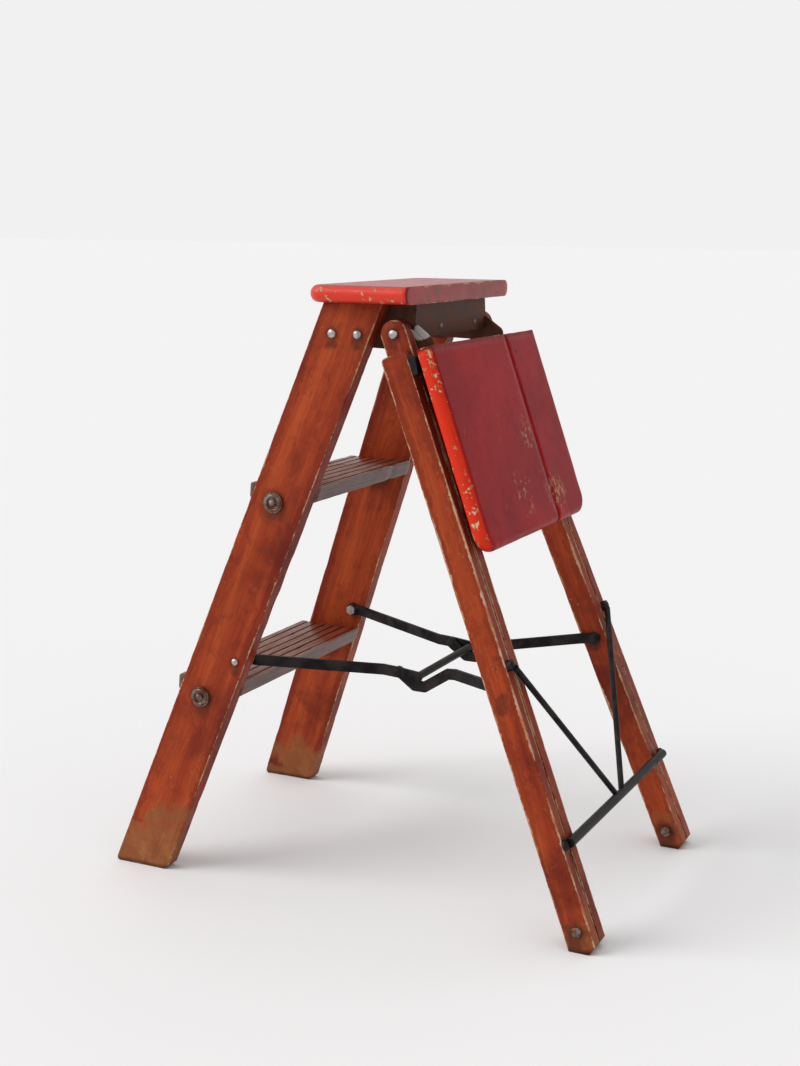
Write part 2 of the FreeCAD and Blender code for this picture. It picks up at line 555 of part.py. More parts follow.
# Flap: two planks edge to edge, built in the raised seat and then turned down
flap_board = board("flap_board", "flap_half", "flap_front", "flap_long", "flap_corner", False)
seam_room = box("seam_right", "2 * flap_half", "2 * flap_long", "4 * board_thick", "flap_seam + seam_gap / 2",
                "flap_front - flap_long / 2", "seat_under - board_thick")
seam_other = box("seam_left", "2 * flap_half", "2 * flap_long", "4 * board_thick",
                 "flap_seam - seam_gap / 2 - 2 * flap_half", "flap_front - flap_long / 2",
                 "seat_under - board_thick")
nodes["flap_plank_wide"] = hang(common("flap_plank_wide", flap_board, seam_room))
nodes["flap_plank_narrow"] = hang(common("flap_plank_narrow", flap_board, seam_other))

# Flap arms: flat plates from the top pivot to a flange under the planks
arm_top = "seat_under - arm_thick"
arm_side = outline("arm_side", "side", [
    ("pivot_y", "pivot_height - arm_hub"), ("arm_low_y", "arm_low_z"),
    ("flap_front + arm_set + arm_reach", "%s - arm_tip" % arm_top),
    ("flap_front + arm_set + arm_reach", "seat_under"), ("flap_front + arm_set", "seat_under"),
    ("pivot_y - arm_hub * sqrt(0.5)", "pivot_height + arm_hub * sqrt(0.5)")])
arm_plate = thick("arm_plate", arm_side, "side", "arm_inner", "arm_inner + arm_thick")
arm_hub = rod("arm_hub_disc", "arm_hub", "arm_thick", "arm_inner", "pivot_y", "pivot_height")
arm_flange = box("arm_flange_sheet", "arm_flange", "arm_reach", "arm_thick", "arm_inner",
                 "flap_front + arm_set", arm_top)
arm_form = cut("arm_form", fuse("arm_raw", arm_plate, arm_hub, arm_flange), pivot_bore)
nodes["flap_arm_right"] = hang(arm_form)
nodes["flap_arm_left"] = mirrored("flap_arm_left", nodes["flap_arm_right"])
flap_screws = []
for quarter in (1, 3):
    flap_screws.append(dome("flap_screw_%d" % quarter, "screw_radius", "screw_high", "arm_inner + arm_screw_set",
                            "flap_front + arm_set + arm_reach * %d / 4" % quarter, arm_top, turn=180))
flap_screw_set = hang(fuse("flap_screw_set", *flap_screws))
nodes["flap_screws"] = pair("flap_screws", flap_screw_set)

# Spreader: two straps a side, hinged to the wood and meeting at the middle rivets
front_path = [("front_pivot_y", "front_pivot_z"), ("rivet_y", "rivet_z"), ("strap_rod_y", "strap_rod_z")]
front_face = "(front_eye_face - strap_thick / 2)"
rear_face = "(rear_eye_face - strap_thick / 2)"
front_mid = "(rivet_half + side_clearance / 2 + strap_thick / 2)"
rear_mid = "(rivet_half - side_clearance / 2 - strap_thick / 2)"
front_plan = [("%s + stile_splay * strap_high" % front_face, "front_pivot_y - strap_high"),
              ("%s - stile_splay * eye_flat" % front_face, "front_pivot_y + eye_flat"),
              (front_mid, "rivet_y - strap_bend"), (front_mid, "strap_rod_y + 2 * strap_high")]
rear_side = [("rear_pivot_y", "rear_pivot_z"), ("crest_y", "crest_z"),
             ("saddle_y + strap_rod_radius", "saddle_z"), ("strap_rod_y - strap_rod_radius", "saddle_z"),
             ("rivet_y", "rivet_z")]
rear_plan = [("%s + leg_splay * strap_high" % rear_face, "rear_pivot_y + strap_high"),
             ("%s - leg_splay * eye_flat" % rear_face, "rear_pivot_y - eye_flat"),
             (rear_mid, "crest_y + strap_bend / 2"), (rear_mid, "rivet_y - 2 * strap_high")]


def strap(name, side_path, plan_path, eye_y, eye_z):
    """A flat strap on edge: its side form and its plan together, with a bore at its eye."""
    strip = strap_form(name + "_strip_side", "side", side_path, "strap_high / 2", "0", "stile_foot_half")
    side = fuse(name + "_side", strip, rod(name + "_eye", "eye_radius", "stile_foot_half", "0", eye_y, eye_z))
    plan = strap_form(name + "_plan", "plan", plan_path, "strap_thick / 2", "0", "seat_under")
    bore = rod(name + "_bore", "bolt_radius + pin_clearance", "stile_foot_half", "eye_bore_start", eye_y, eye_z)
    return cut(name, common(name + "_blank", side, plan), bore)


nodes["spreader_strap_front_right"] = strap("spreader_strap_front_right", front_path, front_plan,
                                            "front_pivot_y", "front_pivot_z")
nodes["spreader_strap_rear_right"] = strap("spreader_strap_rear_right", rear_side, rear_plan,
                                           "rear_pivot_y", "rear_pivot_z")
for place in ("front", "rear"):
    source = nodes["spreader_strap_%s_right" % place]
    nodes["spreader_strap_%s_left" % place] = mirrored("spreader_strap_%s_left" % place, source)
nodes["spreader_rod"] = rod("spreader_rod", "strap_rod_radius", "2 * rivet_half + side_clearance",
                            "-rivet_half - side_clearance / 2", "strap_rod_y", "strap_rod_z")
front_rivet = dome("front_rivet", "rivet_head", "rivet_high",
                   "rivet_half + side_clearance / 2 + strap_thick", "rivet_y", "rivet_z")
nodes["spreader_rivets_front"] = pair("spreader_rivets_front", front_rivet)
rear_rivet = dome("rear_rivet", "rivet_head", "screw_high", "rivet_half - side_clearance / 2 - strap_thick",
                  "rivet_y", "rivet_z", turn=-90)
nodes["spreader_rivets_rear"] = pair("spreader_rivets_rear", rear_rivet)

doc.recompute()
for item in doc.Objects:
    if "Invalid" in item.State or "Error" in item.State:
        raise RuntimeError("%s did not recompute" % item.Name)
os.makedirs("parts", exist_ok=True)
for name, item in nodes.items():
    item.Label = name
    if item.Shape.isNull() or not item.Shape.isValid() or not item.Shape.Solids:
        raise RuntimeError("%s has no valid solid" % name)
    item.Shape.exportStep("parts/%s.step" % name)
    print(name, len(item.Shape.Solids), round(item.Shape.Volume, 1))
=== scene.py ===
"""Folding wooden step stool with a hanging seat flap: boards, ironwork, finishes, light and camera."""
import json
import math

import bmesh
import bpy
from mathutils import Matrix, Vector, noise


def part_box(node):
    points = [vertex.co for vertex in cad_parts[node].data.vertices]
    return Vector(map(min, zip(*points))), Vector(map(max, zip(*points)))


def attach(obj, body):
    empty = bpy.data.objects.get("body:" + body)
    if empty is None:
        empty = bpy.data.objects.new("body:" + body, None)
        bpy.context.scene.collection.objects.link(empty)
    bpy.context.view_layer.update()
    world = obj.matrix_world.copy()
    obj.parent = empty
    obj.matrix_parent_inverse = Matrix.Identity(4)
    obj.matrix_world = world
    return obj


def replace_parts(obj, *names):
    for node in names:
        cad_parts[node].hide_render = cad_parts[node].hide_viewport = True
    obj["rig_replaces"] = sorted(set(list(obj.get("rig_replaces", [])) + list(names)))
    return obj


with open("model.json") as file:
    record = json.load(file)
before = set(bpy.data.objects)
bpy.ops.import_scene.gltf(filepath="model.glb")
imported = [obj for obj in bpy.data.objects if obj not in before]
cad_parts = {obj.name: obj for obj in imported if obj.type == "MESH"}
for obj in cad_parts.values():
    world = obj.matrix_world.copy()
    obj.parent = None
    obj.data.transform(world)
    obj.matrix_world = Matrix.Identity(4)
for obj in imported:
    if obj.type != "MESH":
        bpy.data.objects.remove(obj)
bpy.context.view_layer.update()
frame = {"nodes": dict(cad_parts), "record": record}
NODES = frame["nodes"]
BODY_OF = {name: body for body, names in frame["record"]["behaviour"]["bodies"].items() for name in names}

# Linear colours of the finishes; the red nose colour also carries a painted highlight, and the dark dirt
# colour also serves as painted shade
STAIN_DEEP = (0.1, 0.011, 0.008, 1)
STAIN_MID = (0.27, 0.033, 0.012, 1)
STAIN_WARM = (0.43, 0.072, 0.02, 1)
BARE_WOOD = (0.42, 0.185, 0.07, 1)
PALE_WOOD = (0.68, 0.5, 0.32, 1)
FOOT_WOOD = (0.24, 0.085, 0.032, 1)
# Dark dirt, also used as the painted shade inside a hole
DARK_DIRT_AND_SHADE = (0.03, 0.014, 0.01, 1)
RED_FACE = (0.25, 0.006, 0.009, 1)
RED_FACE_LIGHT = (0.34, 0.009, 0.013, 1)
# Orange-red of the round edges: partly worn paint, partly a painted highlight
RED_NOSE_AND_HIGHLIGHT = (0.66, 0.034, 0.013, 1)
TREAD_WORN = (0.27, 0.175, 0.14, 1)
TREAD_STAIN = (0.17, 0.045, 0.02, 1)
TREAD_GREY = (0.13, 0.085, 0.07, 1)
IRON_DARK = (0.011, 0.009, 0.011, 1)
IRON_DUSTY = (0.035, 0.029, 0.028, 1)
RUST = (0.1, 0.04, 0.022, 1)
PATINA_DARK = (0.055, 0.02, 0.011, 1)
PATINA_BROWN = (0.12, 0.046, 0.027, 1)
STEEL = (0.5, 0.49, 0.47, 1)
STEEL_WORN = (0.22, 0.19, 0.165, 1)


# Shader nodes

# A Mix node's share and its two colours among the inputs, and its colour among the outputs
MIX_SOCKETS = (0, 6, 7)
MIX_COLOUR_OUT = 2


def put(tree, kind, inputs=None, **settings):
    """Places a node, sets it up, and fills its inputs with values or sockets."""
    made = tree.nodes.new(kind)
    for key, value in settings.items():
        setattr(made, key, value)
    for key, value in (inputs or {}).items():
        if isinstance(value, bpy.types.NodeSocket):
            tree.links.new(value, made.inputs[key])
        else:
            made.inputs[key].default_value = value
    return made


def reckon(tree, operation, *values):
    """A Math node on values or sockets."""
    return put(tree, "ShaderNodeMath", dict(enumerate(values)), operation=operation).outputs[0]


def plus(tree, first, second):
    return reckon(tree, "ADD", first, second)


def minus(tree, first, second):
    return reckon(tree, "SUBTRACT", first, second)


def times(tree, first, second):
    return reckon(tree, "MULTIPLY", first, second)


def larger(tree, first, second):
    return reckon(tree, "MAXIMUM", first, second)


def smaller(tree, first, second):
    return reckon(tree, "MINIMUM", first, second)


def vectors(tree, operation, *values):
    """A Vector Math node; Scale takes its factor last."""
    if operation == "SCALE":
        inputs = {0: values[0], "Scale": values[1]}
    else:
        inputs = dict(enumerate(values))
    made = put(tree, "ShaderNodeVectorMath", inputs, operation=operation)
    return made.outputs["Value" if operation == "DOT_PRODUCT" else "Vector"]


def spread(tree, value, low, high, to_low=0.0, to_high=1.0):
    """Maps a value smoothly from one range to another."""
    made = put(tree, "ShaderNodeMapRange", {"Value": value, "From Min": low, "From Max": high,
                                            "To Min": to_low, "To Max": to_high},
               interpolation_type="SMOOTHSTEP")
    return made.outputs["Result"]


def blend(tree, share, first, second):
    """Mixes two colours."""
    made = tree.nodes.new("ShaderNodeMix")
    made.data_type = "RGBA"
    for index, value in zip(MIX_SOCKETS, (share, first, second)):
        if isinstance(value, bpy.types.NodeSocket):
            tree.links.new(value, made.inputs[index])
        else:
            made.inputs[index].default_value = value
    return made.outputs[MIX_COLOUR_OUT]


def cloud(tree, place, scale, detail=3.0, distortion=0.0, roughness=0.55):
    """A noise value over a place."""
    made = put(tree, "ShaderNodeTexNoise", {"Vector": place, "Scale": scale, "Detail": detail,
                                            "Roughness": roughness, "Distortion": distortion})
    return made.outputs["Fac"]


def effect(name, inputs, outputs):
    """A new node group with named sockets: its tree, its inputs and its output node."""
    tree = bpy.data.node_groups.new(name, "ShaderNodeTree")
    for label, value in inputs:
        kind = "NodeSocketVector" if isinstance(value, tuple) else "NodeSocketFloat"
        tree.interface.new_socket(label, in_out="INPUT", socket_type=kind).default_value = value
    for label in outputs:
        tree.interface.new_socket(label, in_out="OUTPUT", socket_type="NodeSocketFloat")
    return tree, tree.nodes.new("NodeGroupInput").outputs, tree.nodes.new("NodeGroupOutput")


def use(tree, group, **values):
    """Places a group in a material; underscores in the names of its inputs stand for spaces."""
    made = put(tree, "ShaderNodeGroup", node_tree=group)
    for key, value in values.items():
        socket = made.inputs[key.replace("_", " ")]
        if isinstance(value, bpy.types.NodeSocket):
            tree.links.new(value, socket)
        else:
            socket.default_value = value
    return made.outputs


def seeded_place(tree, seed):
    """Object coordinates shifted by a seed."""
    place = put(tree, "ShaderNodeTexCoord").outputs["Object"]
    shift = put(tree, "ShaderNodeCombineXYZ", {0: seed, 1: times(tree, seed, 1.7),
                                               2: times(tree, seed, 0.6)})
    return vectors(tree, "ADD", place, shift.outputs[0])


def make_grain():
    """Fibres, streaks and pores drawn out along a board."""
    inputs = [("Along", (0.0, 0.0, 1.0)), ("Fibres", 700.0), ("Streaks", 90.0), ("Stretch", 0.04),
              ("Seed", 0.0)]
    tree, ins, out = effect("wood_grain", inputs, ["Fibre", "Streak", "Pore"])
    place = seeded_place(tree, ins["Seed"])
    run = vectors(tree, "DOT_PRODUCT", place, ins["Along"])
    lengthwise = vectors(tree, "SCALE", ins["Along"], run)
    across = vectors(tree, "SUBTRACT", place, lengthwise)
    short = vectors(tree, "SCALE", lengthwise, ins["Stretch"])
    drawn = vectors(tree, "ADD", across, short)
    tree.links.new(cloud(tree, drawn, ins["Fibres"], 4.0, 0.2), out.inputs["Fibre"])
    tree.links.new(cloud(tree, drawn, ins["Streaks"], 3.0, 0.8), out.inputs["Streak"])
    pore = cloud(tree, vectors(tree, "ADD", drawn, (3.1, 1.3, 0.4)), times(tree, ins["Fibres"], 1.9), 2.0)
    tree.links.new(spread(tree, pore, 0.6, 0.7), out.inputs["Pore"])
    return tree


def make_arris():
    """How deep a place lies below a board's nearest arris, and below its wide and end faces."""
    labels = [("Facing %d" % n, (1.0, 0.0, 0.0)) for n in (1, 2, 3)]
    labels += [("Middle %d" % n, 0.0) for n in (1, 2, 3)] + [("Half %d" % n, 0.01) for n in (1, 2, 3)]
    tree, ins, out = effect("arris_distance", labels, ["Distance", "Side"])
    place = put(tree, "ShaderNodeTexCoord").outputs["Object"]
    deep = []
    for n in (1, 2, 3):
        run = vectors(tree, "DOT_PRODUCT", place, ins["Facing %d" % n])
        off = reckon(tree, "ABSOLUTE", minus(tree, run, ins["Middle %d" % n]))
        deep.append(minus(tree, ins["Half %d" % n], off))
    low = smaller(tree, deep[0], deep[1])
    high = larger(tree, deep[0], deep[1])
    middle = larger(tree, low, smaller(tree, high, deep[2]))
    tree.links.new(middle, out.inputs["Distance"])
    tree.links.new(smaller(tree, deep[1], deep[2]), out.inputs["Side"])
    return tree


def make_rim():
    """Finish rubbed off along an arris, in broken runs."""
    inputs = [("Distance", 0.0), ("Width", 0.003), ("Breaks", 60.0), ("Share", 0.5), ("Seed", 0.0)]
    tree, ins, out = effect("worn_rim", inputs, ["Mask"])
    place = seeded_place(tree, ins["Seed"])
    coarse = cloud(tree, place, times(tree, ins["Breaks"], 0.3), 2.0)
    fine = cloud(tree, place, times(tree, ins["Breaks"], 4.0), 4.0)
    reach = plus(tree, times(tree, coarse, 0.6), times(tree, fine, 0.4))
    lift = minus(tree, plus(tree, reach, ins["Share"]), 1.0)
    edge = times(tree, lift, times(tree, ins["Width"], 5.0))
    gap = minus(tree, edge, ins["Distance"])
    tree.links.new(spread(tree, gap, -0.0003, 0.0003), out.inputs["Mask"])
    return tree


def make_spots():
    """Small knocks, gathered in some regions."""
    tree, ins, out = effect("knock_spots", [("Size", 60.0), ("Share", 0.1), ("Seed", 0.0)], ["Mask"])
    place = seeded_place(tree, ins["Seed"])
    fine = cloud(tree, place, ins["Size"], 5.0, 0.3, 0.65)
    region = cloud(tree, place, times(tree, ins["Size"], 0.13), 2.0)
    both = plus(tree, times(tree, fine, 0.7), times(tree, region, 0.3))
    cutoff = minus(tree, 0.72, times(tree, ins["Share"], 0.3))
    tree.links.new(spread(tree, minus(tree, both, cutoff), 0.0, 0.02), out.inputs["Mask"])
    return tree


def make_scratches():
    """Thin scratches, in some regions."""
    inputs = [("Size", 30.0), ("Thin", 0.004), ("Share", 0.5), ("Seed", 0.0)]
    tree, ins, out = effect("fine_scratches", inputs, ["Mask"])
    place = seeded_place(tree, ins["Seed"])
    line = cloud(tree, place, ins["Size"], 2.0, 0.4)
    off = reckon(tree, "ABSOLUTE", minus(tree, line, 0.5))
    on_line = spread(tree, off, times(tree, ins["Thin"], 1.6), ins["Thin"])
    region = cloud(tree, vectors(tree, "ADD", place, (5.0, 2.0, 7.0)), times(tree, ins["Size"], 0.9), 1.0)
    cutoff = minus(tree, 0.75, times(tree, ins["Share"], 0.4))
    some = spread(tree, minus(tree, region, cutoff), 0.0, 0.04)
    tree.links.new(times(tree, on_line, some), out.inputs["Mask"])
    return tree


def make_patches():
    """Soft, uneven patches."""
    tree, ins, out = effect("soft_patches", [("Size", 8.0), ("Seed", 0.0)], ["Value"])
    place = seeded_place(tree, ins["Seed"])
    tree.links.new(cloud(tree, place, ins["Size"], 4.0, 0.5), out.inputs["Value"])
    return tree


def make_halo():
    """A soft stain round a bolt, drawn out downwards, on the sides of a board."""
    inputs = [("Y", 0.0), ("Z", 0.0), ("Reach", 0.015), ("Run", 0.03)]
    tree, ins, out = effect("bolt_stain", inputs, ["Mask"])
    place = put(tree, "ShaderNodeTexCoord").outputs["Object"]
    split = put(tree, "ShaderNodeSeparateXYZ", {0: place}).outputs
    ragged = minus(tree, cloud(tree, place, 140.0, 3.0), 0.5)
    off = minus(tree, split["Y"], ins["Y"])
    drop = minus(tree, ins["Z"], split["Z"])
    below = smaller(tree, larger(tree, drop, 0.0), ins["Run"])
    down = minus(tree, drop, times(tree, below, 0.7))
    away = reckon(tree, "SQRT", plus(tree, times(tree, off, off), times(tree, down, down)))
    away = plus(tree, away, times(tree, ragged, ins["Reach"]))
    tree.links.new(spread(tree, away, ins["Reach"], times(tree, ins["Reach"], 0.35)), out.inputs["Mask"])
    return tree


GRAIN = make_grain()
ARRIS = make_arris()
RIM = make_rim()
SPOTS = make_spots()
SCRATCHES = make_scratches()
HALO = make_halo()
PATCHES = make_patches()


def new_material(name):
    """An empty material with a Principled shader: its tree and the shader."""
    made = bpy.data.materials.new(name)
    made.use_nodes = True
    tree = made.node_tree
    tree.nodes.clear()
    shader = put(tree, "ShaderNodeBsdfPrincipled")
    output = put(tree, "ShaderNodeOutputMaterial")
    tree.links.new(shader.outputs[0], output.inputs["Surface"])
    return made, tree, shader


def finish_material(tree, shader, colour, roughness, height, depth):
    """Links colour, roughness and a bump height to the shader."""
    tree.links.new(colour, shader.inputs["Base Color"])
    tree.links.new(roughness, shader.inputs["Roughness"])
    bump = put(tree, "ShaderNodeBump", {"Height": height, "Strength": 1.0, "Distance": depth})
    tree.links.new(bump.outputs[0], shader.inputs["Normal"])


# The flat faces of a board

SAME_WAY = 0.9995
CROSSWISE = 0.6


def main_faces(names):
    """The three ways a board's faces look, the middle and the half size along each, smallest first."""
    found = []
    points = []
    for name in names:
        mesh = NODES[name].data
        points += [vertex.co.copy() for vertex in mesh.vertices]
        for face in mesh.polygons:
            facing = face.normal
            for entry in found:
                if abs(entry[0].dot(facing)) > SAME_WAY:
                    entry[1] += face.area
                    break
            else:
                found.append([facing.copy(), face.area])
    chosen = []
    for facing, _ in sorted(found, key=lambda entry: -entry[1]):
        if all(abs(facing.dot(other)) < CROSSWISE for other in chosen):
            chosen.append(facing)
        if len(chosen) == 3:
            break
    rows = []
    for facing in chosen:
        runs = [facing.dot(point) for point in points]
        rows.append((facing, (min(runs) + max(runs)) / 2, (max(runs) - min(runs)) / 2))
    return sorted(rows, key=lambda row: row[2])


def arris_of(tree, rows):
    """The distance to the nearest arris of a board, and to its narrow sides."""
    values = {}
    for n, (facing, middle, half) in enumerate(rows, 1):
        values["Facing_%d" % n] = tuple(facing)
        values["Middle_%d" % n] = middle
        values["Half_%d" % n] = half
    return use(tree, ARRIS, **values)


def height_above_floor(tree):
    """How high a place lies when the stool stands open."""
    place = put(tree, "ShaderNodeTexCoord").outputs["Object"]
    return put(tree, "ShaderNodeSeparateXYZ", {0: place}).outputs["Z"]


def stained_wood(name, rows, along, seed, rim=0.0017, share=0.56, foot=0.05, foot_share=1.0, deep=0.0,
                 bolts=()):
    """Red-brown stain over quiet wood, rubbed through on the arrises and at the foot."""
    made, tree, shader = new_material(name)
    grain = use(tree, GRAIN, Along=tuple(along), Fibres=620.0, Streaks=42.0, Stretch=0.05, Seed=seed)
    patches = use(tree, PATCHES, Size=11.0, Seed=seed + 3.0)["Value"]
    mottle = use(tree, PATCHES, Size=55.0, Seed=seed + 1.0)["Value"]
    depth = arris_of(tree, rows)["Distance"]
    body = blend(tree, spread(tree, grain["Streak"], 0.3, 0.75), STAIN_MID, STAIN_WARM)
    body = blend(tree, spread(tree, patches, 0.45, 0.75, deep, 0.8), body, STAIN_DEEP)
    body = blend(tree, spread(tree, mottle, 0.5, 0.75, 0.0, 0.4), body, STAIN_DEEP)
    body = blend(tree, spread(tree, grain["Fibre"], 0.6, 0.4, 0.0, 0.22), body, STAIN_DEEP)
    body = blend(tree, times(tree, grain["Pore"], 0.35), body, DARK_DIRT_AND_SHADE)
    # Darker in broken runs along the arrises
    arris_darkening = use(tree, RIM, Distance=depth, Width=rim * 4.0, Breaks=26.0, Share=0.66, Seed=seed + 11.0)
    body = blend(tree, times(tree, arris_darkening["Mask"], 0.3), body, STAIN_DEEP)
    scratch = use(tree, SCRATCHES, Size=60.0, Thin=0.006, Share=0.25, Seed=seed + 5.0)["Mask"]
    body = blend(tree, times(tree, scratch, 0.3), body, BARE_WOOD)
    specks = use(tree, SPOTS, Size=210.0, Share=0.16, Seed=seed + 21.0)["Mask"]
    spots = use(tree, SPOTS, Size=80.0, Share=0.13, Seed=seed + 7.0)["Mask"]
    rubbed = use(tree, RIM, Distance=depth, Width=rim, Breaks=60.0, Share=share, Seed=seed + 9.0)
    worn = larger(tree, rubbed["Mask"], larger(tree, times(tree, spots, 0.75), specks))
    broad = times(tree, minus(tree, patches, 0.5), 0.16)
    small = times(tree, minus(tree, mottle, 0.5), 0.07)
    ragged_height = plus(tree, height_above_floor(tree), plus(tree, broad, small))
    low = spread(tree, ragged_height, foot, foot * 0.55, 0.0, foot_share)
    low = times(tree, low, spread(tree, grain["Fibre"], 0.3, 0.5, 0.7, 1.0))
    foot_tone = blend(tree, spread(tree, mottle, 0.4, 0.75, 0.0, 0.6), FOOT_WOOD, BARE_WOOD)
    body = blend(tree, times(tree, low, 0.85), body, foot_tone)
    bare = blend(tree, spread(tree, mottle, 0.35, 0.65), BARE_WOOD, PALE_WOOD)
    colour = blend(tree, times(tree, worn, 0.62), body, bare)
    for y, z, reach, strength in bolts:
        stain = use(tree, HALO, Y=y, Z=z, Reach=reach, Run=0.012)["Mask"]
        colour = blend(tree, times(tree, stain, strength), colour, DARK_DIRT_AND_SHADE)
    # Darker towards the bottom, over the last few millimetres above the floor
    darker_near_floor = spread(tree, height_above_floor(tree), 0.006, 0.001, 0.0, 0.75)
    colour = blend(tree, darker_near_floor, colour, DARK_DIRT_AND_SHADE)
    shader.inputs["Specular IOR Level"].default_value = 0.08
    dullness = plus(tree, times(tree, worn, 0.35), times(tree, mottle, 0.5))
    roughness = spread(tree, dullness, 0.1, 0.7, 0.38, 0.68)
    height = minus(tree, times(tree, grain["Fibre"], 0.35), times(tree, worn, 0.5))
    height = minus(tree, height, times(tree, scratch, 0.3))
    finish_material(tree, shader, colour, roughness, height, 0.0003)
    return made


def distance_from(tree, place, centre):
    """How far a place lies from a fixed point."""
    away = vectors(tree, "SUBTRACT", place, tuple(centre))
    return put(tree, "ShaderNodeVectorMath", {0: away}, operation="LENGTH").outputs["Value"]


def painted_board(name, rows, along, seed, scuffed_side, gloss, seam=None, patches_at=(), hole_shade_at=None):
    """Old red paint, deeper on the faces and chipped to the wood on the round edges. The round edges are
    bright orange-red where they face the stool's sides: partly worn paint, partly a painted highlight.
    """
    made, tree, shader = new_material(name)
    grain = use(tree, GRAIN, Along=tuple(along), Fibres=420.0, Streaks=38.0, Stretch=0.04, Seed=seed)
    patches = use(tree, PATCHES, Size=14.0, Seed=seed + 2.0)["Value"]
    mottle = use(tree, PATCHES, Size=90.0, Seed=seed + 1.0)["Value"]
    arris = arris_of(tree, rows)
    coordinates = put(tree, "ShaderNodeTexCoord").outputs
    facing = put(tree, "ShaderNodeSeparateXYZ", {0: coordinates["Normal"]}).outputs
    place = put(tree, "ShaderNodeSeparateXYZ", {0: coordinates["Object"]}).outputs
    body = blend(tree, spread(tree, patches, 0.35, 0.7), RED_FACE, RED_FACE_LIGHT)
    body = blend(tree, spread(tree, mottle, 0.55, 0.8, 0.0, 0.3), body, STAIN_DEEP)
    # The bright nose colour goes only where the round edges face the stool's sides: partly worn paint,
    # partly a painted highlight
    side_highlight_share = spread(tree, reckon(tree, "ABSOLUTE", facing["X"]), 0.25, 0.7)
    bright = times(tree, spread(tree, arris["Side"], 0.0125, 0.0075), side_highlight_share)
    if seam is not None:
        from_seam = reckon(tree, "ABSOLUTE", minus(tree, place["X"], seam))
        bright = times(tree, bright, spread(tree, from_seam, 0.004, 0.008))
    body = blend(tree, bright, body, RED_NOSE_AND_HIGHLIGHT)
    body = blend(tree, times(tree, grain["Pore"], 0.3), body, DARK_DIRT_AND_SHADE)
    rear = times(tree, spread(tree, facing[scuffed_side], 0.8, 0.95), spread(tree, mottle, 0.45, 0.65))
    body = blend(tree, times(tree, rear, 0.6), body, PATINA_BROWN)
    scratch = use(tree, SCRATCHES, Size=55.0, Thin=0.005, Share=0.2, Seed=seed + 5.0)["Mask"]
    body = blend(tree, times(tree, scratch, 0.3), body, BARE_WOOD)
    spots = use(tree, SPOTS, Size=130.0, Share=0.1, Seed=seed + 7.0)["Mask"]
    chips = use(tree, RIM, Distance=arris["Distance"], Width=0.003, Breaks=110.0, Share=0.5,
                Seed=seed + 9.0)["Mask"]
    nose_spots = use(tree, SPOTS, Size=120.0, Share=0.5, Seed=seed + 13.0)["Mask"]
    worn = larger(tree, chips, larger(tree, spots, times(tree, nose_spots, bright)))
    scuffs = use(tree, SPOTS, Size=170.0, Share=0.62, Seed=seed + 17.0)["Mask"]
    for centre, width in patches_at:
        reach = distance_from(tree, coordinates["Object"], centre)
        near = spread(tree, reach, width, width * 0.25, 0.0, 0.7)
        worn = larger(tree, worn, times(tree, scuffs, near))
    bare = blend(tree, spread(tree, grain["Fibre"], 0.35, 0.65), BARE_WOOD, PALE_WOOD)
    colour = blend(tree, times(tree, worn, 0.85), body, bare)
    # Painted shade: a dark disc stands for the shade inside a hole
    if hole_shade_at is not None:
        hole = spread(tree, distance_from(tree, coordinates["Object"], hole_shade_at), 0.0024, 0.0014)
        colour = blend(tree, hole, colour, DARK_DIRT_AND_SHADE)
    shader.inputs["Specular IOR Level"].default_value = gloss
    dullness = plus(tree, times(tree, worn, 0.4), times(tree, mottle, 0.5))
    roughness = spread(tree, dullness, 0.15, 0.6, 0.3, 0.55)
    height = minus(tree, times(tree, grain["Fibre"], 0.25), worn)
    finish_material(tree, shader, colour, roughness, height, 0.0003)
    return made


def worn_tread(name, rows, along, seed, top, groove_depth):
    """Stain worn off the walked ridges, varnish left by the far stile, dirt in the grooves."""
    made, tree, shader = new_material(name)
    grain = use(tree, GRAIN, Along=tuple(along), Fibres=520.0, Streaks=80.0, Stretch=0.035, Seed=seed)
    patches = use(tree, PATCHES, Size=16.0, Seed=seed + 2.0)["Value"]
    mottle = use(tree, PATCHES, Size=120.0, Seed=seed + 1.0)["Value"]
    place = put(tree, "ShaderNodeTexCoord").outputs["Object"]
    split = put(tree, "ShaderNodeSeparateXYZ", {0: place}).outputs
    depth = arris_of(tree, rows)["Distance"]
    walked = spread(tree, split["Z"], top - groove_depth * 0.6, top - groove_depth * 0.15)
    ragged = plus(tree, split["X"], times(tree, minus(tree, patches, 0.5), 0.16))
    walked = times(tree, walked, spread(tree, ragged, -0.075, -0.03, 0.12, 1.0))
    stain = blend(tree, spread(tree, grain["Streak"], 0.4, 0.7), TREAD_STAIN, STAIN_MID)
    on_top = spread(tree, split["Z"], top - groove_depth * 1.3, top - groove_depth)
    greyed = times(tree, minus(tree, 1.0, on_top), spread(tree, mottle, 0.3, 0.6, 0.5, 0.95))
    stain = blend(tree, greyed, stain, TREAD_GREY)
    stain = blend(tree, spread(tree, grain["Fibre"], 0.6, 0.4, 0.0, 0.5), stain, DARK_DIRT_AND_SHADE)
    groove = spread(tree, split["Z"], top - groove_depth * 0.3, top - groove_depth * 0.8)
    groove_floor = spread(tree, split["Z"], top - groove_depth * 1.6, top - groove_depth * 1.1)
    in_groove = times(tree, groove, groove_floor)
    stain = blend(tree, times(tree, in_groove, 0.8), stain, DARK_DIRT_AND_SHADE)
    bare = blend(tree, spread(tree, grain["Fibre"], 0.35, 0.65), TREAD_STAIN, TREAD_WORN)
    colour = blend(tree, walked, stain, bare)
    rubbed = use(tree, RIM, Distance=depth, Width=0.0024, Breaks=70.0, Share=0.66, Seed=seed + 9.0)["Mask"]
    colour = blend(tree, times(tree, rubbed, 0.5), colour, TREAD_WORN)
    shader.inputs["Specular IOR Level"].default_value = 0.22
    roughness = spread(tree, walked, 0.0, 1.0, 0.34, 0.62)
    finish_material(tree, shader, colour, roughness, grain["Fibre"], 0.0003)
    return made


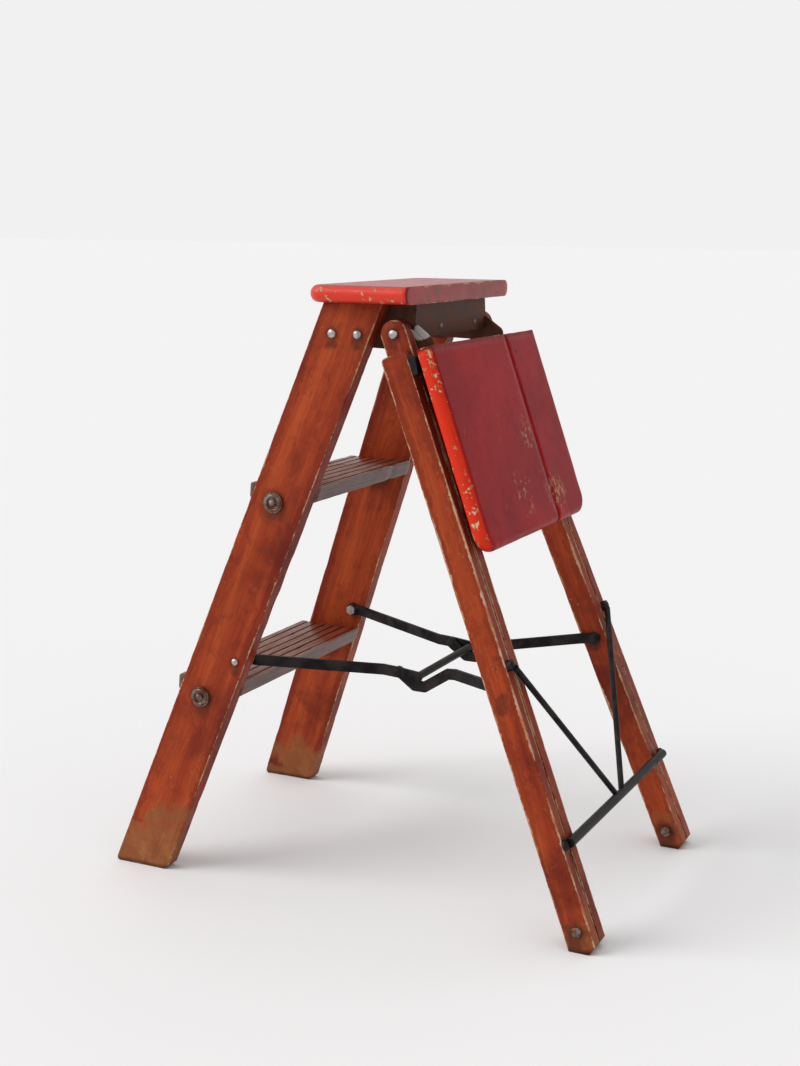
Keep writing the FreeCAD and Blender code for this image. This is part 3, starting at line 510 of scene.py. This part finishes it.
def metal(name, tones, rust_share, metallic, roughness_range, size, seed, bare_and_highlight_at=None):
    """Worn metal: two tones in soft patches, rust blooms and a rough skin. Where a place is given, a pale
    steel patch goes there, partly bare metal and partly a painted highlight.
    """
    made, tree, shader = new_material(name)
    patches = use(tree, PATCHES, Size=size, Seed=seed)["Value"]
    spots = use(tree, SPOTS, Size=size * 3.0, Share=rust_share, Seed=seed + 4.0)["Mask"]
    colour = blend(tree, spread(tree, patches, 0.35, 0.7), *tones)
    colour = blend(tree, spots, colour, RUST)
    if bare_and_highlight_at is not None:
        # Pale steel patch: partly rubbed bare metal, partly a painted highlight
        place = put(tree, "ShaderNodeTexCoord").outputs["Object"]
        ragged = times(tree, minus(tree, patches, 0.5), 0.014)
        reach = plus(tree, distance_from(tree, place, bare_and_highlight_at), ragged)
        colour = blend(tree, spread(tree, reach, 0.0105, 0.009), colour, STEEL)
    shader.inputs["Metallic"].default_value = metallic
    shader.inputs["Specular IOR Level"].default_value = 0.1
    dullness = plus(tree, patches, times(tree, spots, 0.3))
    roughness = spread(tree, dullness, 0.3, 0.9, *roughness_range)
    skin = use(tree, PATCHES, Size=size * 12.0, Seed=seed + 8.0)["Value"]
    height = plus(tree, skin, times(tree, spots, 0.6))
    finish_material(tree, shader, colour, roughness, height, 0.00012)
    return made


# Pieces

STEP = 0.006
SIDEWAYS = Vector((1, 0, 0))
WELD = 3e-6
FLAT_ANGLE = math.radians(0.6)
ARRIS_ANGLE = math.radians(25)


def piece_from(name, bm, node, material, replaced):
    """Makes an object of a mesh, rides it on its node's body and hides what it replaces."""
    mesh = bpy.data.meshes.new(name)
    bm.to_mesh(mesh)
    bm.free()
    mesh.polygons.foreach_set("use_smooth", [True] * len(mesh.polygons))
    made = bpy.data.objects.new(name, mesh)
    bpy.context.scene.collection.objects.link(made)
    mesh.materials.append(material)
    modifier = made.modifiers.new("flat_faces", "WEIGHTED_NORMAL")
    modifier.keep_sharp = True
    modifier.weight = 60
    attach(made, BODY_OF[node])
    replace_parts(made, *replaced)
    return made


def cad_copy(node):
    """The node's mesh with its seams welded and its flat faces joined."""
    bm = bmesh.new()
    bm.from_mesh(NODES[node].data)
    bmesh.ops.remove_doubles(bm, verts=bm.verts, dist=WELD)
    bmesh.ops.dissolve_limit(bm, angle_limit=FLAT_ANGLE, verts=bm.verts, edges=bm.edges)
    bm.normal_update()
    return bm


def corner_solid(rows):
    """The eight-cornered solid between three pairs of parallel faces."""
    turn = Matrix([row[0] for row in rows])
    back = turn.inverted()
    bm = bmesh.new()
    corners = {}
    for a in (-1, 1):
        for b in (-1, 1):
            for c in (-1, 1):
                far = Vector([row[1] + side * row[2] for row, side in zip(rows, (a, b, c))])
                corners[a, b, c] = bm.verts.new(back @ far)
    for axis in range(3):
        for side in (-1, 1):
            ring = []
            for first, second in ((-1, -1), (1, -1), (1, 1), (-1, 1)):
                key = [first, second]
                key.insert(axis, side)
                ring.append(corners[tuple(key)])
            bm.faces.new(ring)
    bmesh.ops.recalc_face_normals(bm, faces=bm.faces)
    return bm


def round_edges(bm, width, over=0.012, pick=None, segments=3):
    """Rounds the outward edges over a length, or those of them that pick chooses."""
    rims = [edge for edge in bm.edges if edge.is_manifold and edge.calc_length() > over
            and edge.calc_face_angle_signed() > ARRIS_ANGLE and (pick is None or pick(edge))]
    bmesh.ops.bevel(bm, geom=rims, offset=width, offset_type="OFFSET", segments=segments,
                    profile=0.5, affect="EDGES", clamp_overlap=True)
    bm.normal_update()


def slice_along(bm, along):
    """Cuts faces across the way along, so that edges can carry knocks."""
    runs = [along.dot(vertex.co) for vertex in bm.verts]
    count = int((max(runs) - min(runs)) / STEP)
    for index in range(1, count):
        everything = bm.verts[:] + bm.edges[:] + bm.faces[:]
        place = along * (min(runs) + index * STEP)
        bmesh.ops.bisect_plane(bm, geom=everything, plane_co=place, plane_no=along, dist=1e-6)


FINE_WAVES = 90
BROAD_WAVES = 38
KNOCK_START = 0.32
FLAT_SHARE = 0.995


def knock(bm, seed, light, heavy, spare=None):
    """Wears the rounded edges: a light waviness and a few heavier knocks, none where spare says so."""
    shift = Vector((seed, seed * 0.7, seed * 1.3))
    moves = []
    for vertex in bm.verts:
        facings = [face.normal for face in vertex.link_faces]
        flat = min(facings[0].dot(other) for other in facings) > FLAT_SHARE
        if flat or (spare is not None and spare(vertex.co)):
            continue
        fine = max(0.0, noise.noise(vertex.co * FINE_WAVES + shift))
        coarse = max(0.0, noise.noise(vertex.co * BROAD_WAVES + shift * 2) - KNOCK_START)
        moves.append((vertex, vertex.normal * -(light * fine + heavy * coarse)))
    for vertex, move in moves:
        vertex.co += move


def worn_piece(node, material, bm, along, light, heavy, seed, spare=None):
    """Wears a board's mesh and shows it in place of its node."""
    slice_along(bm, along)
    bm.normal_update()
    knock(bm, seed, light, heavy, spare)
    return piece_from("worn_" + node, bm, node, material, [node])


def bolt_places(node, reach, strength):
    """Where the bolts of a node cross a board: y, z, the stain's reach and its strength."""
    low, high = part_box(node)
    return ((low.y + high.y) / 2, (low.z + high.z) / 2, reach, strength)


ACROSS_LEAST = 0.008


def runs_across(edge):
    """Whether an edge runs across a board, from side to side of the stool."""
    return abs(edge.verts[0].co.x - edge.verts[1].co.x) > ACROSS_LEAST


# Stains round the bolts
HEAD_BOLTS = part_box("head_bolts")
HEAD_BOLT_RADIUS = 0.0046
HEAD_Z = (HEAD_BOLTS[0].z + HEAD_BOLTS[1].z) / 2
STILE_BOLTS = [
    bolt_places("tie_rod_lower", 0.019, 0.5),
    bolt_places("tie_rod_upper", 0.019, 0.5),
    bolt_places("spreader_eye_bolts", 0.008, 0.5),
    (HEAD_BOLTS[0].y + HEAD_BOLT_RADIUS, HEAD_Z, 0.0095, 0.6),
    (HEAD_BOLTS[1].y - HEAD_BOLT_RADIUS, HEAD_Z, 0.0095, 0.6),
]
LEG_BOLTS = [
    bolt_places("top_pivot_bolts", 0.0095, 0.5),
    bolt_places("foot_bolts", 0.015, 0.6),
    bolt_places("leg_eye_rivets", 0.009, 0.5),
]

# Stiles
STILE_FOOT_ROUND = 0.006
STILE_ARRIS = 0.0018
worn_pieces = []
for count, node in enumerate(("stile_right", "stile_left")):
    rows = main_faces([node])
    along = rows[0][0].cross(rows[1][0]).normalized()
    solid = corner_solid(rows)
    round_edges(solid, STILE_FOOT_ROUND, segments=4,
                pick=lambda edge: max(v.co.z for v in edge.verts) < 0.001 and runs_across(edge))
    round_edges(solid, STILE_ARRIS)
    look = stained_wood(node + "_stain", rows, along, 2.0 + 9.0 * count, foot=0.056, bolts=STILE_BOLTS)
    worn_pieces.append(worn_piece(node, look, solid, along, 0.0005, 0.0028, 3.0 + count))

# Rear legs
LEG_TOP_ROUND = 0.005
LEG_ARRIS = 0.0016
LEG_TOP_HIGH = 0.03
for count, node in enumerate(("inner_leg_right", "inner_leg_left", "outer_leg_right", "outer_leg_left")):
    rows = main_faces([node])
    along = rows[0][0].cross(rows[1][0]).normalized()
    solid = cad_copy(node)
    if node.startswith("outer"):
        top_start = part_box(node)[1].z - LEG_TOP_HIGH
        round_edges(solid, LEG_TOP_ROUND, ACROSS_LEAST, segments=4,
                    pick=lambda edge: min(v.co.z for v in edge.verts) > top_start and runs_across(edge))
    round_edges(solid, LEG_ARRIS)
    look = stained_wood(node + "_stain", rows, along, 31.0 + 7.0 * count, rim=0.0021, share=0.6,
                        foot=0.03, foot_share=0.5, bolts=LEG_BOLTS)
    worn_pieces.append(worn_piece(node, look, solid, along, 0.0005, 0.0025, 7.0 + count))

# Treads
TREAD_NOSE_ROUND = 0.0028
RIDGE_ROUND = 0.00045
LONG_EDGE = 0.05
GROOVE_DEPTH = 0.002
for count, node in enumerate(("tread_lower", "tread_upper")):
    rows = main_faces([node])
    low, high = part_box(node)
    solid = cad_copy(node)
    front = low.y
    round_edges(solid, TREAD_NOSE_ROUND, LONG_EDGE,
                pick=lambda edge: max(v.co.y for v in edge.verts) < front + 0.0005)
    round_edges(solid, RIDGE_ROUND, LONG_EDGE, segments=2,
                pick=lambda edge: min(v.co.y for v in edge.verts) > front + 0.004)
    look = worn_tread(node + "_wear", rows, SIDEWAYS, 51.0 + 5.0 * count, high.z, GROOVE_DEPTH)
    worn_pieces.append(worn_piece(node, look, solid, SIDEWAYS, 0.0004, 0.002, 17.0 + count))

# Top board and flap planks; scuffs and the painted shade of a hole are points on the hanging flap's rear
# face
SEAM_X = -0.048
SEAM_ROOM = 0.003
FLAP_SCUFFS = [
    (Vector((-0.035, 0.1137, 0.4588)), 0.026),
    (Vector((0.02, 0.132, 0.4069)), 0.03),
    (Vector((-0.062, 0.1346, 0.3994)), 0.032),
]
FLAP_HOLE_SHADE = Vector((-0.066, 0.0856, 0.5388))


def by_seam(place):
    """Whether a place lies by the seam between the flap's planks."""
    return abs(place.x - SEAM_X) < SEAM_ROOM


top_rows = main_faces(["top_board"])
flap_planks = ("flap_plank_wide", "flap_plank_narrow")
flap_rows = main_faces(flap_planks)
top_way = top_rows[0][0].cross(SIDEWAYS).normalized()
flap_way = flap_rows[0][0].cross(SIDEWAYS).normalized()
top_look = painted_board("top_board_paint", top_rows, SIDEWAYS, 71.0, "Y", 0.3)
top_solid = cad_copy("top_board")
slice_along(top_solid, SIDEWAYS)
worn_pieces.append(worn_piece("top_board", top_look, top_solid, top_way, 0.0003, 0.002, 27.0))
for offset, node in enumerate(flap_planks):
    look = painted_board(node + "_paint", flap_rows, flap_way, 82.0 + 3.0 * offset, "Z", 0.05,
                         SEAM_X, FLAP_SCUFFS, FLAP_HOLE_SHADE)
    solid = cad_copy(node)
    slice_along(solid, SIDEWAYS)
    worn_pieces.append(worn_piece(node, look, solid, flap_way, 0.0003, 0.002, 28.0 + offset, by_seam))

# Ironwork and the hidden rail keep their nodes
rail = stained_wood("head_rail_stain", main_faces(["head_rail"]), SIDEWAYS, 91.0, foot=0.0,
                    foot_share=0.0, deep=0.3)
iron = metal("strap_iron", (IRON_DARK, IRON_DUSTY), 0.22, 0.55, (0.42, 0.7), 55.0, 4.0)
BRACKET_TONES = (PATINA_DARK, PATINA_BROWN)
# Place of the pale steel patch on the near ear and arm: partly bare metal, partly a painted highlight
BARE_AND_HIGHLIGHT_PLACE = Vector((0.092, 0.05, 0.568))
patina = metal("bracket_patina", BRACKET_TONES, 0.3, 0.06, (0.42, 0.66), 45.0, 14.0)
bare_and_highlight_ear = metal("bracket_patina_bare_and_highlight", BRACKET_TONES, 0.3, 0.06, (0.42, 0.66), 45.0, 14.0, BARE_AND_HIGHLIGHT_PLACE)
bright = metal("bolt_steel", (STEEL, STEEL_WORN), 0.2, 0.9, (0.28, 0.5), 160.0, 24.0)
dull = metal("screw_steel", (PATINA_BROWN, STEEL_WORN), 0.3, 0.8, (0.35, 0.6), 160.0, 34.0)
LOOK_OF = {
    "head_rail": rail,
    "bracket_ear_right": bare_and_highlight_ear, "bracket_ear_left": patina, "bracket_plate": patina,
    "flap_arm_right": bare_and_highlight_ear, "flap_arm_left": patina,
    "head_bolts": bright, "top_pivot_bolts": bright, "spreader_eye_bolts": bright, "tie_rod_cups": dull,
    "foot_bolts": dull, "bracket_screws": dull, "flap_screws": dull, "foot_spacers": dull,
}
replaced = {name for made in worn_pieces for name in made["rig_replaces"]}
for name, held in NODES.items():
    if name in replaced:
        continue
    held.data.materials.clear()
    held.data.materials.append(LOOK_OF.get(name, iron))

# Lugs bent out of the flap's arms, which meet the inner legs' rear edges when the flap hangs
LUG_OUTLINE = ((0.0516, 0.5455), (0.0576, 0.5302), (0.0606, 0.5278), (0.0640, 0.5300), (0.0612, 0.5462))
LUG_SINK = 0.0004
LUG_REACH = 0.0135
ARM_OUTER_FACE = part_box("flap_arm_right")[1].x
for side, node in ((1, "flap_arm_right"), (-1, "flap_arm_left")):
    lug = bmesh.new()
    inner = [lug.verts.new((side * (ARM_OUTER_FACE - LUG_SINK), y, z)) for y, z in LUG_OUTLINE]
    outer = [lug.verts.new((side * (ARM_OUTER_FACE + LUG_REACH), y, z)) for y, z in LUG_OUTLINE]
    lug.faces.new(inner)
    lug.faces.new(outer)
    for index in range(len(LUG_OUTLINE)):
        after = (index + 1) % len(LUG_OUTLINE)
        lug.faces.new((inner[index], inner[after], outer[after], outer[index]))
    bmesh.ops.recalc_face_normals(lug, faces=lug.faces)
    round_edges(lug, 0.0009, 0.002)
    piece_from("lug_of_" + node, lug, node, iron, [])

# Studio
FLOOR_HALF = 40.0
FLOOR_PALE = (0.9, 0.895, 0.895, 1)
FILL_STRENGTH = 0.57
BACKDROP_PALE = (0.88, 0.88, 0.88, 1)
corner_signs = ((-1, -1), (1, -1), (1, 1), (-1, 1))
floor_corners = [(x * FLOOR_HALF, y * FLOOR_HALF, 0) for x, y in corner_signs]
floor_mesh = bpy.data.meshes.new("floor")
floor_mesh.from_pydata(floor_corners, [], [(0, 1, 2, 3)])
floor = bpy.data.objects.new("floor", floor_mesh)
bpy.context.scene.collection.objects.link(floor)
floor_look, _, floor_shader = new_material("pale_floor")
floor_shader.inputs["Base Color"].default_value = FLOOR_PALE
floor_shader.inputs["Roughness"].default_value = 1.0
floor_shader.inputs["Specular IOR Level"].default_value = 0.0
floor_mesh.materials.append(floor_look)

world = bpy.data.worlds.new("studio")
bpy.context.scene.world = world
world.use_nodes = True
sky = world.node_tree
sky.nodes.clear()
path = put(sky, "ShaderNodeLightPath").outputs
mirrored = larger(sky, path["Is Glossy Ray"], path["Is Transmission Ray"])
seen = larger(sky, path["Is Camera Ray"], mirrored)
lamp_sky = put(sky, "ShaderNodeBackground", {"Color": (1, 1, 1, 1), "Strength": FILL_STRENGTH})
seen_sky = put(sky, "ShaderNodeBackground", {"Color": BACKDROP_PALE, "Strength": 1.0})
both = put(sky, "ShaderNodeMixShader", {0: seen, 1: lamp_sky.outputs[0], 2: seen_sky.outputs[0]})
sky.links.new(both.outputs[0], put(sky, "ShaderNodeOutputWorld").inputs["Surface"])


def soft_lamp(name, place, spread_angle, strength):
    """A far, broad lamp that shines from a place towards the stool."""
    data = bpy.data.lights.new(name, "SUN")
    data.angle = math.radians(spread_angle)
    data.energy = strength
    made = bpy.data.objects.new(name, data)
    made.location = place
    made.rotation_euler = (-Vector(place)).to_track_quat("-Z", "Y").to_euler()
    bpy.context.scene.collection.objects.link(made)


soft_lamp("key_lamp", (1.8, -2.6, 2.0), 40, 1.7)
soft_lamp("top_lamp", (-0.4, -0.4, 3.2), 80, 0.45)

# Camera
CAMERA_PLACE = (1.5266, 0.7163, 0.6723)
AZIMUTH, PITCH, ROLL = (math.radians(value) for value in (25.58, -10.82, 0.5))
level = Vector((-math.cos(AZIMUTH), -math.sin(AZIMUTH), 0)) * math.cos(PITCH)
look = level + Vector((0, 0, math.sin(PITCH)))
right = Vector((-math.sin(AZIMUTH), math.cos(AZIMUTH), 0))
upward = right.cross(look)
rolled_right = right * math.cos(ROLL) + upward * math.sin(ROLL)
rolled_up = upward * math.cos(ROLL) - right * math.sin(ROLL)
lens = bpy.data.cameras.new("camera")
lens.sensor_width = 36.0
lens.lens = 55.385
camera = bpy.data.objects.new("camera", lens)
camera_turn = Matrix((rolled_right, rolled_up, -look)).transposed().to_4x4()
camera.matrix_world = Matrix.Translation(CAMERA_PLACE) @ camera_turn
bpy.context.scene.collection.objects.link(camera)
bpy.context.scene.camera = camera
bpy.context.scene.view_settings.view_transform = "Standard"
